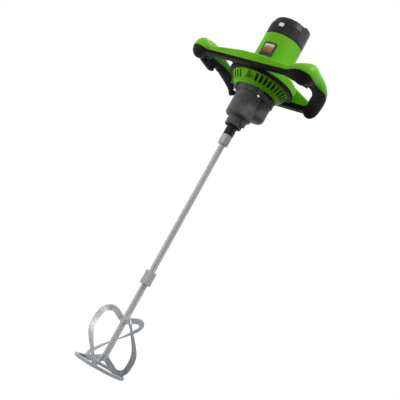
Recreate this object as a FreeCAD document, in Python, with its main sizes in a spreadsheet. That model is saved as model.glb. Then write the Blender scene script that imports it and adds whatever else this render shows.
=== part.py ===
import FreeCAD, Part
import math
import os

import Sketcher

# Mixing drill: a motor in a two-handed frame drives a paddle through two pairs of spur gears.
# Millimetres. The origin is on the spindle's axis at the underside of the paddle ring, +Z runs up
# to the motor, +X points to the right grip and -Y to the front. The motor's axis stands behind
# the spindle's, and the layshaft stands behind and to the right of both.

doc = FreeCAD.newDocument("MixingDrill")
sheet = doc.addObject("Spreadsheet::Sheet", "Sizes")
Vector = FreeCAD.Vector
UP = Vector(0, 0, 1)
nodes = {}


class Size:
    """A length with its value and the expression that finds it from the sheet's cells."""

    def __init__(self, value, text):
        self.value = value
        self.text = text

    def joined(self, other, sign, value):
        return Size(value, "(%s %s %s)" % (self.text, sign, as_size(other).text))

    def __add__(self, other):
        return self.joined(other, "+", self.value + as_size(other).value)

    def __sub__(self, other):
        return self.joined(other, "-", self.value - as_size(other).value)

    def __mul__(self, other):
        return self.joined(other, "*", self.value * as_size(other).value)

    def __truediv__(self, other):
        return self.joined(other, "/", self.value / as_size(other).value)

    def __neg__(self):
        return as_size(0) - self

    def root(self):
        return Size(math.sqrt(self.value), "sqrt(%s)" % self.text)


def as_size(amount):
    return amount if isinstance(amount, Size) else Size(float(amount), repr(float(amount)))


def size(alias, number):
    """Write one driving dimension into the sheet and hand it back."""
    row = size.next_row
    size.next_row += 1
    sheet.set("A%d" % row, alias.replace("_", " "))
    sheet.set("B%d" % row, str(number))
    sheet.setAlias("B%d" % row, alias)
    sheet.recompute()
    return Size(float(sheet.get(alias)), "Sizes." + alias)


size.next_row = 1


def bind(thing, prop, amount):
    thing.setExpression(prop, as_size(amount).text)


def place(thing, x=0, y=0, z=0):
    for letter, amount in (("x", x), ("y", y), ("z", z)):
        bind(thing, "Placement.Base." + letter, amount)


def keep(label, thing):
    """Name a finished piece of the object."""
    thing.Label = label
    nodes[label] = thing
    return thing


def new_body(name, x=0, y=0):
    body = doc.addObject("PartDesign::Body", name)
    place(body, x, y)
    return body


def new_sketch(body, role="XY_Plane", height=0):
    sketch = body.newObject("Sketcher::SketchObject", "Outline")
    support = [plane for plane in body.Origin.OriginFeatures if plane.Role == role][0]
    sketch.AttachmentSupport = [(support, "")]
    sketch.MapMode = "FlatFace"
    bind(sketch, "AttachmentOffset.Base.z", height)
    return sketch


def fix_point(sketch, element, end, across, along):
    for kind, amount in (("DistanceX", across), ("DistanceY", along)):
        amount = as_size(amount)
        number = sketch.addConstraint(Sketcher.Constraint(kind, element, end, amount.value))
        sketch.setExpression("Constraints[%d]" % number, amount.text)


def draw_outline(sketch, corners):
    first = sketch.GeometryCount
    count = len(corners)
    spots = [Vector(as_size(a).value, as_size(b).value, 0) for a, b in corners]
    for i in range(count):
        sketch.addGeometry(Part.LineSegment(spots[i], spots[(i + 1) % count]), False)
    for i in range(count):
        following = first + (i + 1) % count
        sketch.addConstraint(Sketcher.Constraint("Coincident", first + i, 2, following, 1))
    for i, (across, along) in enumerate(corners):
        fix_point(sketch, first + i, 1, across, along)


def draw_box(sketch, width, depth, x=0, y=0):
    left, right = as_size(x) - width / 2, as_size(x) + width / 2
    front, back = as_size(y) - depth / 2, as_size(y) + depth / 2
    draw_outline(sketch, [(left, front), (right, front), (right, back), (left, back)])


def draw_circle(sketch, radius, x=0, y=0):
    centre = Vector(as_size(x).value, as_size(y).value, 0)
    number = sketch.addGeometry(Part.Circle(centre, UP, radius.value), False)
    bound = sketch.addConstraint(Sketcher.Constraint("Radius", number, radius.value))
    sketch.setExpression("Constraints[%d]" % bound, radius.text)
    fix_point(sketch, number, 3, x, y)


def pad(body, low, high, draw, *sizes):
    sketch = new_sketch(body, height=low)
    draw(sketch, *sizes)
    feature = body.newObject("PartDesign::Pad", "Pad")
    feature.Profile = sketch
    bind(feature, "Length", as_size(high) - low)
    return feature


def pocket(body, low, high, draw, *sizes):
    sketch = new_sketch(body, height=high)
    draw(sketch, *sizes)
    feature = body.newObject("PartDesign::Pocket", "Pocket")
    feature.Profile = sketch
    bind(feature, "Length", as_size(high) - low)
    return feature


def around(body, feature, count, angle):
    """Repeat a feature about the body's vertical axis, over the angle given in degrees."""
    pattern = body.newObject("PartDesign::PolarPattern", "Pattern")
    pattern.Originals = [feature]
    axis = [line for line in body.Origin.OriginFeatures if line.Role == "Z_Axis"][0]
    pattern.Axis = (axis, [""])
    bind(pattern, "Angle", angle)
    bind(pattern, "Occurrences", count)
    body.Tip = pattern
    return pattern


def revolve(body, corners):
    sketch = new_sketch(body, "XZ_Plane")
    draw_outline(sketch, corners)
    feature = body.newObject("PartDesign::Revolution", "Revolution")
    feature.Profile = sketch
    feature.ReferenceAxis = (sketch, ["V_Axis"])
    feature.Angle = 360
    return feature


def round_edges(body, radius, chosen):
    doc.recompute()
    base = body.Tip
    names = ["Edge%d" % (i + 1) for i, edge in enumerate(base.Shape.Edges) if chosen(edge)]
    feature = body.newObject("PartDesign::Fillet", "Fillet")
    feature.Base = (base, names)
    bind(feature, "Radius", radius)
    return feature


def near(a, b):
    return abs(a - as_size(b).value) < 1e-4


def rim(radius, height):
    """Pick the round edge of one radius at one height."""
    def chosen(edge):
        curve = edge.Curve
        if not isinstance(curve, Part.Circle):
            return False
        return near(curve.Radius, radius) and near(curve.Center.z, height)
    return chosen


def ring(label, inner, outer, low, high, x=0, y=0):
    body = new_body(label, x, y)
    revolve(body, [(inner, low), (outer, low), (outer, high), (inner, high)])
    return keep(label, body)


def cylinder(name, radius, low, high, x=0, y=0):
    rod = doc.addObject("Part::Cylinder", name)
    bind(rod, "Radius", radius)
    bind(rod, "Height", as_size(high) - low)
    place(rod, x, y, low)
    return rod


def block(name, low, high):
    """A box between two corners."""
    box = doc.addObject("Part::Box", name)
    for prop, a, b in zip(("Length", "Width", "Height"), low, high):
        bind(box, prop, as_size(b) - a)
    place(box, *low)
    return box


def boolean(kind, name, base, tool):
    thing = doc.addObject("Part::" + kind, name)
    thing.Base = base
    thing.Tool = tool
    return thing


def fused(name, things):
    thing = doc.addObject("Part::MultiFuse", name)
    thing.Shapes = things
    return thing


def solid_feature(name, shape):
    feature = doc.addObject("Part::Feature", name)
    feature.Shape = shape
    return feature


# Driving dimensions
# Paddle
ring_radius = size("ring_radius", 60)
ring_width = size("ring_width", 8)
ring_height = size("ring_height", 7)
ring_round = size("ring_round", 2)
rod_radius = size("rod_radius", 7)
rod_foot = size("rod_foot_height", 16)
rod_chamfer = size("rod_chamfer", 1.4)
blade_count = size("blade_count", 3)
blade_width = size("blade_width", 13)
blade_thickness = size("blade_thickness", 3)
blade_inset = size("blade_inset", 4)
blade_bow = size("blade_bow", 4)
blade_arm_height = size("blade_arm_height", 112)
blade_arm_rise = size("blade_arm_rise", 25)
blade_corner = size("blade_corner", 20)
blade_heel = size("blade_heel_radius", 16)
blade_twist = size("blade_twist", 100)
blade_start = size("blade_start_angle", 79.5)
weld_gap = size("weld_gap", 0.05)
spoke_slope = size("spoke_slope", 28)
# Shaft
coupling_flats = size("coupling_flats", 24)
coupling_foot = size("coupling_foot_height", 201)
coupling_height = size("coupling_height", 32)
nut_flats = size("lock_nut_flats", 24)
nut_height = size("lock_nut_height", 24)
shaft_length = size("paddle_shaft_length", 587)
thread_depth = size("thread_depth", 18)
hex_margin = size("hex_turning_margin", 0.5)
hex_slope = size("hex_turning_slope", 0.577)
# Spindle and its bearings
nose_radius = size("spindle_nose_radius", 12.25)
nose_flats = size("spindle_nose_flats", 22)
nose_length = size("spindle_nose_length", 24.5)
journal_radius = size("journal_radius", 8.5)
running_gap = size("running_clearance", 0.05)
nose_gap = size("spindle_nose_clearance", 0.5)
spindle_bearing_radius = size("spindle_bearing_radius", 17.5)
spindle_bearing_height = size("spindle_bearing_height", 10)
seal_height = size("seal_height", 6)
bearing_span = size("spindle_bearing_span", 22)
spindle_way = size("spindle_way_radius", 12)
circlip_height = size("circlip_height", 1.5)
circlip_depth = size("circlip_depth", 0.7)
circlip_width = size("circlip_width", 3)
# Gear case
motor_offset = size("motor_offset", 16)
neck_radius = size("neck_radius", 20.5)
neck_length = size("neck_length", 23)
case_radius = size("case_radius", 32)
case_height = size("case_height", 61)
case_wall = size("case_wall", 3)
bulge_radius = size("bulge_radius", 25)
bulge_wall = size("bulge_wall", 2.5)
bulge_drop = size("bulge_drop", 46)
bulge_round = size("bulge_round", 13)
case_round = size("case_round", 5)
flange_radius = size("flange_radius", 42)
flange_thickness = size("flange_thickness", 8)
flange_rim = size("flange_rim", 3)
plate_thickness = size("bearing_plate_thickness", 6)
lug_circle = size("lug_circle_radius", 46)
lug_radius = size("lug_radius", 7)
lug_turns = [size("lug_turn_%s" % side, turn)
             for side, turn in (("back", 88), ("left", 155), ("front_left", 225), ("front_right", 315))]
boss_width = size("neck_boss_width", 15)
boss_reach = size("neck_boss_reach", 25)
boss_height = size("neck_boss_height", 17)
screw_radius = size("screw_radius", 2)
screw_head_radius = size("screw_head_radius", 4)
screw_head_height = size("screw_head_height", 4)
screw_head_gap = size("screw_head_clearance", 0.4)
# Gear teeth
pressure_angle = size("pressure_angle", 20)
backlash = size("backlash", 0.25)
tooth_root = size("tooth_root_share", 1.25)
fine_module = size("fine_module", 1.0)
motor_teeth = size("motor_pinion_teeth", 8)
lay_gear_teeth = size("lay_gear_teeth", 40)
fine_width = size("fine_gear_width", 10)
coarse_module = size("coarse_module", 1.5)
lay_pinion_teeth = size("lay_pinion_teeth", 12)
output_teeth = size("output_gear_teeth", 36)
coarse_width = size("coarse_gear_width", 14)
gear_space = size("gear_space", 4)
gear_head_room = size("gear_head_room", 8)
lay_radius = size("layshaft_radius", 5)
lay_journal = size("layshaft_journal_radius", 3.5)
lay_bearing_radius = size("lay_bearing_radius", 9.5)
lay_bearing_height = size("lay_bearing_height", 5)
# Motor
shaft_radius = size("motor_shaft_radius", 6)
motor_journal = size("motor_journal_radius", 4)
motor_bearing_radius = size("motor_bearing_radius", 11)
motor_bearing_height = size("motor_bearing_height", 7)
housing_radius = size("housing_radius", 48)
housing_wall = size("housing_wall", 3)
housing_height = size("housing_height", 113)
deck_radius = size("motor_flange_radius", 71)
deck_thickness = size("motor_flange_thickness", 3)
bowl_foot_radius = size("bowl_foot_radius", 53)
bowl_waist_radius = size("bowl_waist_radius", 60)
bowl_radius = size("bowl_radius", 72.5)
bowl_height = size("bowl_height", 26)
bowl_wall = size("bowl_wall", 3)
bowl_foot_height = size("bowl_foot_height", 4)
slot_width = size("air_slot_width", 6)
slot_height = size("air_slot_height", 15)
slot_count = size("air_slots_per_side", 11)
slot_sweep = size("air_slot_sweep", 100)
slot_start = size("air_slot_start_angle", 20)
bowl_boss_radius = size("bowl_boss_radius", 5)
bowl_boss_reach = size("bowl_boss_reach", 67)
fan_radius = size("fan_radius", 46)
fan_blades = size("fan_blade_count", 14)
fan_height = size("fan_height", 14)
fan_disc = size("fan_disc_thickness", 2.5)
fan_hub_radius = size("fan_hub_radius", 10)
fan_blade_width = size("fan_blade_width", 2)
fan_gap = size("fan_gap", 5)
stator_lift = size("stator_lift", 33)
stator_height = size("stator_height", 50)
stator_bore = size("stator_bore", 27.6)
air_gap = size("air_gap", 0.7)
coil_height = size("coil_height", 13)
coil_radius = size("coil_inner_radius", 31)
winding_radius = size("winding_radius", 24)
commutator_radius = size("commutator_radius", 15)
commutator_height = size("commutator_height", 20)
brush_plate_height = size("brush_plate_height", 3)
brush_size = size("brush_size", 7)
brush_length = size("brush_length", 22)
brush_gap = size("brush_gap", 0.3)
holder_wall = size("brush_holder_wall", 1.5)
# Top cap
cap_height = size("cap_height", 53)
cap_crown_radius = size("cap_crown_radius", 42)
cap_shoulder = size("cap_shoulder_height", 30)
cap_crown_drop = size("cap_crown_drop", 4)
cap_wall = size("cap_wall", 4)
cap_round = size("cap_round", 8)
cap_cavity = size("cap_cavity_height", 18)
cover_width = size("brush_cover_width", 40)
cover_height = size("brush_cover_height", 43)
cover_lift = size("brush_cover_lift", 5)
cover_seat = size("brush_cover_seat", 38)
cover_round = size("brush_cover_round", 9)
# Frame and grips
shell_deck = size("lower_shell_deck", 3)
hub_radius = size("hub_radius", 82)
hub_skirt = size("hub_skirt", 4)
hub_crown_radius = size("hub_crown_radius", 58)
hub_side_height = size("hub_side_height", 16)
hub_crown_height = size("hub_crown_height", 40)
hub_round = size("hub_round", 3)
beam_depth = size("beam_depth", 22)
beam_round = size("beam_round", 5)
front_beam_y = size("front_beam_distance", 91)
front_beam_half = size("front_beam_half_length", 118)
front_beam_below = size("front_beam_below_parting", 6)
front_beam_above = size("front_beam_above_parting", 11)
front_crown_half = size("front_crown_half_length", 22)
front_crown_rise = size("front_crown_rise", 10)
back_beam_y = size("back_beam_distance", 70)
back_beam_half = size("back_beam_half_length", 104)
back_beam_below = size("back_beam_below_parting", 12)
back_beam_above = size("back_beam_above_parting", 14)
back_crown_half = size("back_crown_half_length", 46)
back_crown_rise = size("back_crown_rise", 28)
web_reach = size("corner_web_reach", 56)
web_depth = size("corner_web_depth", 38)
web_above = size("corner_web_above_parting", 7)
bridge_half = size("front_bridge_half_length", 52)
bridge_depth = size("front_bridge_depth", 34)
seam_rise = size("grip_seam_rise", 20)
seam_start = size("grip_seam_start", 112)
seam_corner = size("grip_seam_corner", 140)
seam_front = size("grip_seam_front_distance", 93)
seam_front_rise = size("grip_seam_front_rise", 6.5)
seam_dip = size("grip_seam_dip_distance", 78)
seam_dip_rise = size("grip_seam_dip_rise", 4.5)
seam_crest = size("grip_seam_crest_distance", 11)
bulb_x = size("bulb_x", 144)
bulb_half_width = size("bulb_half_width", 21)
bulb_half_height = size("bulb_half_height", 27)
bulb_lift = size("bulb_lift", 11.5)
grip_x = size("grip_x", 142)
grip_half_width = size("grip_half_width", 17)
grip_half_height = size("grip_half_height", 17.5)
grip_rise = size("grip_rise", 27)
grip_climb = size("grip_climb_share", 0.72)
grip_root_share = size("grip_root_share", 0.86)
grip_shares = [size("grip_near_share", 0.28), size("grip_middle_share", 0.52),
               size("grip_far_share", 0.78)]
tail_x = size("tail_x", 118)
tail_half_width = size("tail_half_width", 19)
tail_half_height = size("tail_half_height", 21)
tail_lift = size("tail_lift", 5)
pad_front = size("pad_front_distance", 46)
pad_back = size("pad_back_distance", 42)
pad_skin = size("pad_skin", 3)
rib_height = size("pad_rib_height", 1.2)
rib_width = size("pad_rib_width", 5)
rib_step = size("pad_rib_step", 11)
rib_count = size("pad_rib_count", 6)
frame_screw_spread = size("frame_screw_spread", 100)
frame_screw_inset = size("frame_screw_inset", 50)
back_screw_spread = size("back_screw_spread", 80)
frame_screw_length = size("frame_screw_length", 12)
frame_screw_sink = size("frame_screw_sink", 4.5)
# Controls
trigger_width = size("trigger_width", 15)
trigger_front = size("trigger_front_distance", 58)
trigger_length = size("trigger_length", 48)
trigger_drop = size("trigger_drop", 20)
trigger_travel = size("trigger_travel", 5)
trigger_gap = size("trigger_clearance", 0.4)
trigger_round = size("trigger_round", 4)
spring_height = size("trigger_spring_height", 10)
spring_radius = size("trigger_spring_radius", 4)
spring_wire = size("trigger_spring_wire", 1.2)
switch_length = size("switch_length", 40)
switch_width = size("switch_width", 18)
switch_height = size("switch_height", 11)
switch_lift = size("switch_lift", 2)
button_radius = size("lock_button_radius", 5)
button_length = size("lock_button_length", 11)
button_proud = size("lock_button_proud", 3.5)
button_travel = size("lock_button_travel", 3)
button_gap = size("lock_button_clearance", 0.35)
gland_radius = size("gland_radius", 7)
gland_bore = size("gland_bore", 4)
gland_flange = size("gland_flange_radius", 10)
gland_length = size("gland_length", 16)
gland_proud = size("gland_proud", 6)
gland_x = size("gland_x", 62)
gland_lift = size("gland_lift", 10)

# Heights of the main seams, from the paddle up
nose_z = shaft_length
neck_z = nose_z + nose_length + nose_gap
body_z = neck_z + neck_length
flange_z = body_z + case_height
plate_z = flange_z + flange_thickness
bowl_z = plate_z + plate_thickness
bowl_top_z = bowl_z + bowl_height
deck_z = bowl_top_z + deck_thickness
parting_z = deck_z + shell_deck
seam_z = parting_z + seam_rise
housing_top_z = deck_z + housing_height
cap_top_z = housing_top_z + cap_height
# The layshaft stands where both pairs of gears have their right distance
fine_distance = fine_module * (motor_teeth + lay_gear_teeth) / 2
coarse_distance = coarse_module * (lay_pinion_teeth + output_teeth) / 2
lay_y = (coarse_distance * coarse_distance - fine_distance * fine_distance) / (motor_offset * 2)
lay_y = lay_y + motor_offset / 2
lay_x = (coarse_distance * coarse_distance - lay_y * lay_y).root()
# Height of each gear
fine_top_z = plate_z - gear_head_room
fine_z = fine_top_z - fine_width
coarse_top_z = fine_z - gear_space
coarse_z = coarse_top_z - coarse_width


# Paddle ring
def make_paddle_ring():
    body = new_body("paddle_ring")
    inner = ring_radius - ring_width
    revolve(body, [(inner, 0), (ring_radius, 0), (ring_radius, ring_height), (inner, ring_height)])
    round_edges(body, ring_round, lambda edge: isinstance(edge.Curve, Part.Circle))
    return keep("paddle_ring", body)


# Blades: flat bars bent to a C between rod and ring, then twisted about the rod
def bend_stations(centre, height, radius, turns):
    """Stations round a bend, the bar's width pointing away from the bend's centre."""
    for turn in turns:
        angle = math.radians(turn)
        yield centre + radius * math.cos(angle), height + radius * math.sin(angle), turn


def blade_path():
    """Stations on the bar's middle line as radius, height and the bar's width direction."""
    arm_z = blade_arm_height.value
    reach = (ring_radius - blade_inset).value
    corner = blade_corner.value
    heel = blade_heel.value
    start = rod_radius.value - blade_thickness.value
    arm_turn = 90 + blade_arm_rise.value
    arm_climb = math.tan(math.radians(blade_arm_rise.value))
    arm_run = reach - corner + corner * math.cos(math.radians(arm_turn)) - start
    corner_z = arm_z + arm_run * arm_climb - corner * math.sin(math.radians(arm_turn))
    heel_z = heel + blade_width.value / 2 + ring_round.value / 4
    bend_steps = 6
    side_steps = 10
    stations = []
    for share in (0, 0.5, 1):
        stations.append((start + arm_run * share, arm_z + arm_run * arm_climb * share, arm_turn))
    turns = [arm_turn * (1 - (step + 1) / bend_steps) for step in range(bend_steps)]
    stations.extend(bend_stations(reach - corner, corner_z, corner, turns))
    for step in range(side_steps):
        share = (step + 1) / side_steps
        bow = blade_bow.value * math.sin(math.pi * share) ** 2
        stations.append((reach + bow, corner_z + (heel_z - corner_z) * share, 0))
    spoke_turn = 90 + spoke_slope.value
    turns = [-spoke_turn * (step + 1) / bend_steps for step in range(bend_steps)]
    stations.extend(bend_stations(reach - heel, heel_z, heel, turns))
    heel_end, heel_foot = stations[-1][:2]
    spoke_climb = math.tan(math.radians(spoke_slope.value))
    for share in (0.5, 1):
        run = (heel_end - start) * share
        stations.append((heel_end - run, heel_foot + run * spoke_climb, -spoke_turn))
    return stations


def blade_section(station, first_angle):
    radius, height, turn = station
    out = Vector(math.cos(math.radians(turn)), 0, math.sin(math.radians(turn)))
    fallen = (blade_arm_height.value - height) / blade_arm_height.value
    angle = math.radians(first_angle + blade_twist.value * fallen)
    across = Vector(math.cos(angle), math.sin(angle), 0)
    along = Vector(-math.sin(angle), math.cos(angle), 0)
    corners = []
    for wide, thick in ((-1, -1), (1, -1), (1, 1), (-1, 1)):
        spot = Vector(radius, 0, height) + out * (wide * blade_width.value / 2)
        corners.append(across * spot.x + along * (thick * blade_thickness.value / 2) + UP * spot.z)
    return Part.makePolygon(corners + corners[:1])


def make_blades(paddle_ring):
    doc.recompute()
    rod = Part.makeCylinder((rod_radius + weld_gap).value, shaft_length.value)
    for number in range(int(blade_count.value)):
        first_angle = blade_start.value + 360 * number / blade_count.value
        sections = [blade_section(station, first_angle) for station in blade_path()]
        bar = Part.makeLoft(sections, True, True)
        bar = bar.cut(rod).cut(paddle_ring.Shape)
        largest = max(bar.Solids, key=lambda solid: solid.Volume)
        keep("blade_%d" % (number + 1), solid_feature("blade", largest))


# Rods, hex coupling and lock nut
def hexagon(sketch, flats):
    half = flats / 2
    reach = flats / math.sqrt(3)
    draw_outline(sketch, [(reach, 0), (reach / 2, half), (-reach / 2, half),
                          (-reach, 0), (-reach / 2, -half), (reach / 2, -half)])


def make_hex(label, flats, low, high):
    """A hexagon bar with a bore for the rod and turned corners at both ends."""
    body = new_body(label)
    pad(body, low, high, hexagon, flats)
    pocket(body, low, high, draw_circle, rod_radius)
    sketch = new_sketch(body, "XZ_Plane")
    reach = flats / math.sqrt(3) + hex_margin
    edge = flats / 2
    fall = (reach - edge) * hex_slope
    draw_outline(sketch, [(edge, low), (reach, low), (reach, low + fall)])
    draw_outline(sketch, [(edge, high), (reach, high), (reach, high - fall)])
    turned = body.newObject("PartDesign::Groove", "Turned")
    turned.Profile = sketch
    turned.ReferenceAxis = (sketch, ["V_Axis"])
    turned.Angle = 360
    keep(label, body)


def make_shaft():
    middle = coupling_foot + coupling_height / 2
    foot = new_body("lower_rod")
    revolve(foot, [(0, rod_foot), (rod_radius - rod_chamfer, rod_foot),
                   (rod_radius, rod_foot + rod_chamfer), (rod_radius, middle), (0, middle)])
    keep("lower_rod", foot)
    tip = nose_z + thread_depth
    top = new_body("upper_rod")
    revolve(top, [(0, middle), (rod_radius, middle), (rod_radius, tip - rod_chamfer),
                  (rod_radius - rod_chamfer, tip), (0, tip)])
    keep("upper_rod", top)
    make_hex("coupling", coupling_flats, coupling_foot, coupling_foot + coupling_height)
    make_hex("lock_nut", nut_flats, nose_z - nut_height, nose_z)


# Gears: straight involute teeth with shifted profiles, thinned for backlash
def gear_outline(teeth, module, shift, head, thin):
    alpha = math.radians(pressure_angle.value)
    pitch = module * teeth / 2
    base = pitch * math.cos(alpha)
    tip = pitch + module * (head + shift)
    root = pitch - module * (tooth_root.value - shift)
    low = max(root, base)

    def half_angle(radius):
        lean = math.acos(min(1, base / max(radius, base)))
        middle = (math.pi / 2 + 2 * shift * math.tan(alpha)) / teeth - thin / (2 * pitch)
        return middle + math.tan(alpha) - alpha - math.tan(lean) + lean

    radii = [low + (tip - low) * share for share in (0, 0.35, 0.7, 1)]
    if root < base:
        radii = [root] + radii
    corners = []
    for tooth in range(int(teeth)):
        middle = 2 * math.pi * tooth / teeth
        rising = [(radius, middle - half_angle(radius)) for radius in radii]
        falling = [(radius, middle + half_angle(radius)) for radius in reversed(radii)]
        corners += [Vector(r * math.cos(a), r * math.sin(a), 0) for r, a in rising + falling]
    return Part.Face(Part.makePolygon(corners + corners[:1]))


def make_gear_solid(teeth, module, shift, head, low, high, turn, x, y):
    """A toothed disc whose first tooth points along the turn angle, in degrees."""
    face = gear_outline(teeth.value, module.value, shift, head, backlash.value)
    disc = face.extrude(UP * (high - low).value)
    disc.rotate(Vector(), UP, turn)
    disc.translate(Vector(as_size(x).value, as_size(y).value, low.value))
    return disc


fine_shift, fine_head = 0.45, 0.7
coarse_shift, coarse_head = 0.3, 0.8


def bearing_angle(from_x, from_y, to_x, to_y):
    return math.degrees(math.atan2(to_y - from_y, to_x - from_x))


# Spindle: wrench flats on the nose, a thread bore below and the output gear on top
def make_spindle():
    journal_top = coarse_top_z + circlip_height * 2
    body = new_body("spindle")
    groove = coarse_top_z
    revolve(body, [(0, nose_z), (nose_radius, nose_z), (nose_radius, nose_z + nose_length),
                   (journal_radius, nose_z + nose_length), (journal_radius, groove),
                   (journal_radius - circlip_depth, groove),
                   (journal_radius - circlip_depth, groove + circlip_height),
                   (journal_radius, groove + circlip_height), (journal_radius, journal_top),
                   (0, journal_top)])
    pocket(body, nose_z, nose_z + thread_depth, draw_circle, rod_radius)
    for side in (-1, 1):
        middle = (nose_flats + nose_radius) / 2 * side
        pocket(body, nose_z + nose_radius / 3, nose_z + nose_length - nose_radius / 2, draw_box,
               nose_radius, nose_radius * 3, middle)
    keep("spindle", body)
    ring("circlip", journal_radius - circlip_depth, journal_radius + circlip_width,
         groove, groove + circlip_height)
    toward = bearing_angle(0, 0, lay_x.value, lay_y.value)
    gear = make_gear_solid(output_teeth, coarse_module, -coarse_shift, coarse_head,
                           coarse_z, coarse_top_z, toward, 0, 0)
    bore = Part.makeCylinder(journal_radius.value, coarse_width.value, Vector(0, 0, coarse_z.value))
    keep("output_gear", solid_feature("output_gear", gear.cut(bore)))
    seal_z = neck_z + nose_gap
    lower = seal_z + seal_height
    upper = lower + spindle_bearing_height + bearing_span
    bore_radius = journal_radius + running_gap
    ring("spindle_seal", bore_radius, spindle_bearing_radius, seal_z, seal_z + seal_height)
    ring("spindle_bearing_lower", bore_radius, spindle_bearing_radius,
         lower, lower + spindle_bearing_height)
    ring("spindle_bearing_upper", bore_radius, spindle_bearing_radius,
         upper, upper + spindle_bearing_height)


# Layshaft
def make_layshaft():
    low = coarse_z - gear_space
    top = plate_z + lay_bearing_height
    body = new_body("layshaft", lay_x, lay_y)
    foot = low - lay_bearing_height
    revolve(body, [(0, foot), (lay_journal, foot), (lay_journal, low), (lay_radius, low),
                   (lay_radius, plate_z - nose_gap), (lay_journal, plate_z - nose_gap),
                   (lay_journal, top), (0, top)])
    keep("layshaft", body)
    foot_spot = Vector(lay_x.value, lay_y.value, low.value)
    shaft = Part.makeCylinder(lay_radius.value, (top - low).value, foot_spot)
    away = bearing_angle(lay_x.value, lay_y.value, 0, 0)
    pinion = make_gear_solid(lay_pinion_teeth, coarse_module, coarse_shift, coarse_head,
                             coarse_z, coarse_top_z, away + 180 / lay_pinion_teeth.value, lay_x, lay_y)
    keep("lay_pinion", solid_feature("lay_pinion", pinion.cut(shaft)))
    to_motor = bearing_angle(lay_x.value, lay_y.value, 0, motor_offset.value)
    gear = make_gear_solid(lay_gear_teeth, fine_module, -fine_shift, fine_head,
                           fine_z, fine_top_z, to_motor, lay_x, lay_y)
    keep("lay_gear", solid_feature("lay_gear", gear.cut(shaft)))
    bore_radius = lay_journal + running_gap
    ring("lay_bearing_lower", bore_radius, lay_bearing_radius, foot, low - nose_gap, lay_x, lay_y)
    ring("lay_bearing_upper", bore_radius, lay_bearing_radius,
         plate_z, plate_z + lay_bearing_height, lay_x, lay_y)
    return foot


# Gear case: neck, case round the spindle, bulge round the layshaft and a flange with screw lugs
def lug_centres():
    """Four screws round the flange, the back two turned clear of the bulge."""
    for turn in lug_turns:
        angle = math.radians(turn.value)
        yield lug_circle * math.cos(angle), motor_offset + lug_circle * math.sin(angle)


def draw_flange(body, low, high):
    pad(body, low, high, draw_circle, flange_radius, 0, motor_offset)
    pad(body, low, high, draw_circle, case_radius + flange_rim)
    pad(body, low, high, draw_circle, bulge_radius + flange_rim, lay_x, lay_y)
    for x, y in lug_centres():
        pad(body, low, high, draw_circle, lug_radius, x, y)


def make_gear_case(lay_foot):
    seal_z = neck_z + nose_gap
    lower_top = seal_z + seal_height + spindle_bearing_height
    upper = lower_top + bearing_span
    bulge_z = plate_z - flange_thickness - bulge_drop
    body = new_body("gear_case")
    pad(body, neck_z, body_z, draw_circle, neck_radius)
    pad(body, body_z, flange_z, draw_circle, case_radius)
    round_edges(body, case_round, rim(case_radius, body_z))
    pad(body, body_z - boss_height, body_z + case_round, draw_box, boss_reach, boss_width, boss_reach / 2)
    bulge = new_body("bulge", lay_x, lay_y)
    pad(bulge, bulge_z, plate_z, draw_circle, bulge_radius)
    round_edges(bulge, bulge_round, rim(bulge_radius, bulge_z))
    flange = new_body("flange")
    draw_flange(flange, flange_z, plate_z)
    outside = fused("case_outside", [body, bulge, flange])
    chamber_z = coarse_z - gear_space
    spaces = [
        cylinder("gear_room", case_radius - case_wall, chamber_z, plate_z),
        cylinder("lay_room", bulge_radius - bulge_wall, chamber_z, plate_z, lay_x, lay_y),
        cylinder("lay_seat", lay_bearing_radius, lay_foot, plate_z, lay_x, lay_y),
        cylinder("seal_seat", spindle_bearing_radius, neck_z, lower_top),
        cylinder("spindle_way", spindle_way, neck_z, plate_z),
        cylinder("bearing_seat", spindle_bearing_radius, upper, plate_z),
    ]
    for x, y in lug_centres():
        spaces.append(cylinder("screw_way", screw_radius, flange_z, plate_z, x, y))
        spaces.append(cylinder("spot_face", screw_head_radius + screw_head_gap,
                               flange_z - screw_head_height * 2, flange_z, x, y))
    keep("gear_case", boolean("Cut", "gear_case", outside, fused("case_room", spaces)))


def make_bearing_plate():
    body = new_body("bearing_plate")
    draw_flange(body, plate_z, bowl_z)
    pocket(body, plate_z, bowl_z, draw_circle, motor_bearing_radius, 0, motor_offset)
    pocket(body, plate_z, plate_z + lay_bearing_height, draw_circle, lay_bearing_radius, lay_x, lay_y)
    for x, y in lug_centres():
        pocket(body, plate_z, bowl_z, draw_circle, screw_radius, x, y)
    keep("bearing_plate", body)


def make_screws(label, spots, seat, tip, head_height):
    """Screws put in from below: each head hangs under its seat and its shank runs up to the tip."""
    screws = []
    for x, y in spots:
        body = new_body("screw", x, y)
        revolve(body, [(0, seat - head_height), (screw_head_radius, seat - head_height),
                       (screw_head_radius, seat), (screw_radius, seat), (screw_radius, tip), (0, tip)])
        screws.append(body)
    group = doc.addObject("Part::Compound", label)
    group.Links = screws
    keep(label, group)


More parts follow.
